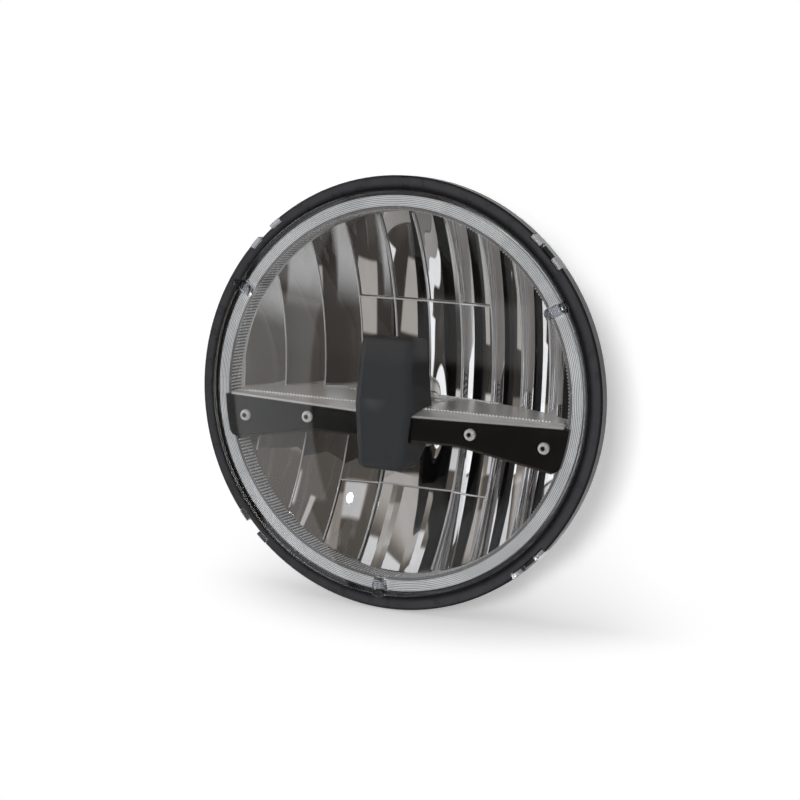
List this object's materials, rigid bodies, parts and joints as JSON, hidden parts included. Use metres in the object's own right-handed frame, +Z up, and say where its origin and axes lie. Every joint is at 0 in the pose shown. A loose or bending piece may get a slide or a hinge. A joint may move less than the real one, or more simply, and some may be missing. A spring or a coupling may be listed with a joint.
{
  "type": "round motorcycle headlight",
  "caption": "Round LED headlight insert with a clear domed lens, faceted mirror bowls split by a black bar, a light guide ring and a finned cast housing behind.",
  "frame": {"origin": "centre of the flange's rear seating face, on the lamp's optical axis", "axes": "+Z up, the lamp shines along -Y, +Y points back into the headlamp bowl, +X is to the right when looking at +Y"},
  "size_m": [0.178, 0.096, 0.178],
  "materials": {
    "clear_lens": "clear polycarbonate, glossy",
    "ring_black": "satin black",
    "seal_rubber": "matt",
    "clear_guide": "frosted clear acrylic",
    "board_white": "white solder mask",
    "led_phosphor": "phosphor yellow",
    "reflector_metal": "vacuum metallised mirror",
    "bar_black": "satin black coating",
    "cover_grey": "fine satin, dark grey",
    "screw_steel": "stainless",
    "core_aluminium": "die-cast",
    "pad_blue": "soft, matt",
    "housing_black": "black powder coat",
    "board_green": "green solder mask",
    "ferrite": "dark grey ferrite",
    "can_aluminium": "sleeved can",
    "gland_plastic": "black nylon"
  },
  "bodies": {
    "root": {"lens": "clear_lens", "front_ring": "ring_black", "lens_seal": "seal_rubber", "light_guide": "clear_guide", "ring_board": "board_white", "ring_leds": "led_phosphor", "toothed_ring": "reflector_metal", "upper_reflector": "reflector_metal", "lower_reflector": "reflector_metal", "bar": "bar_black", "bar_screws": "screw_steel", "centre_cover": "cover_grey", "cover_screws": "screw_steel", "heat_sink_core": "core_aluminium", "core_screws": "screw_steel", "upper_led_board": "board_white", "lower_led_board": "board_white", "upper_leds": "led_phosphor", "lower_leds": "led_phosphor", "board_screws": "screw_steel", "upper_thermal_pad": "pad_blue", "lower_thermal_pad": "pad_blue", "rear_housing": "housing_black", "driver_board": "board_green", "driver_coil": "ferrite", "driver_capacitors": "can_aluminium", "driver_screws": "screw_steel", "rear_cover": "housing_black", "rear_cover_seal": "seal_rubber", "rear_cover_screws": "screw_steel", "cable_gland": "gland_plastic", "gland_nut": "gland_plastic", "gland_seal": "seal_rubber", "breather_vent": "gland_plastic"}
  },
  "joints": []
}
